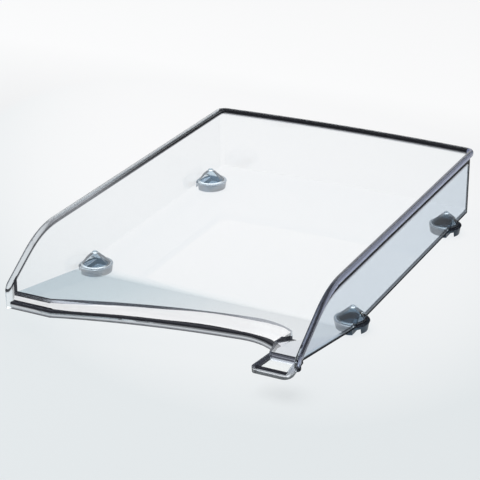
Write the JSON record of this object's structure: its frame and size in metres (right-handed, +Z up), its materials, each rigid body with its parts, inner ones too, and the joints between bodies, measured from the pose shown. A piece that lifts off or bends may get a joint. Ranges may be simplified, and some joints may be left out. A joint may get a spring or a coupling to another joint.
{
  "type": "letter tray",
  "caption": "Clear moulded letter tray with sloping side walls, a low swept front lip, a label holder at one front corner and round feet that stack on the rim below.",
  "frame": {"origin": "middle of the bounding box, on the plane that the pads stand on", "axes": "+Y from the open front to the back wall, +Z up, +X to the right as seen from the front"},
  "size_m": [0.2624, 0.387, 0.0664],
  "materials": {
    "tray": "clear polished polystyrene",
    "card": "plain white card",
    "foot": "clear polished polystyrene, hollow cups",
    "pad": "dull soft rubber"
  },
  "bodies": {
    "tray": {"tray_shell": "tray", "foot_front_left": "foot", "foot_front_right": "foot", "foot_rear_left": "foot", "foot_rear_right": "foot", "pad_front_left": "pad", "pad_front_right": "pad", "pad_rear_left": "pad", "pad_rear_right": "pad"},
    "label": {"label_card": "card"}
  },
  "joints": [
    {"name": "label_slide", "type": "slide", "parent": "tray", "child": "label", "axis": [-1, 0, 0], "range_m": [0, 0.026]}
  ]
}
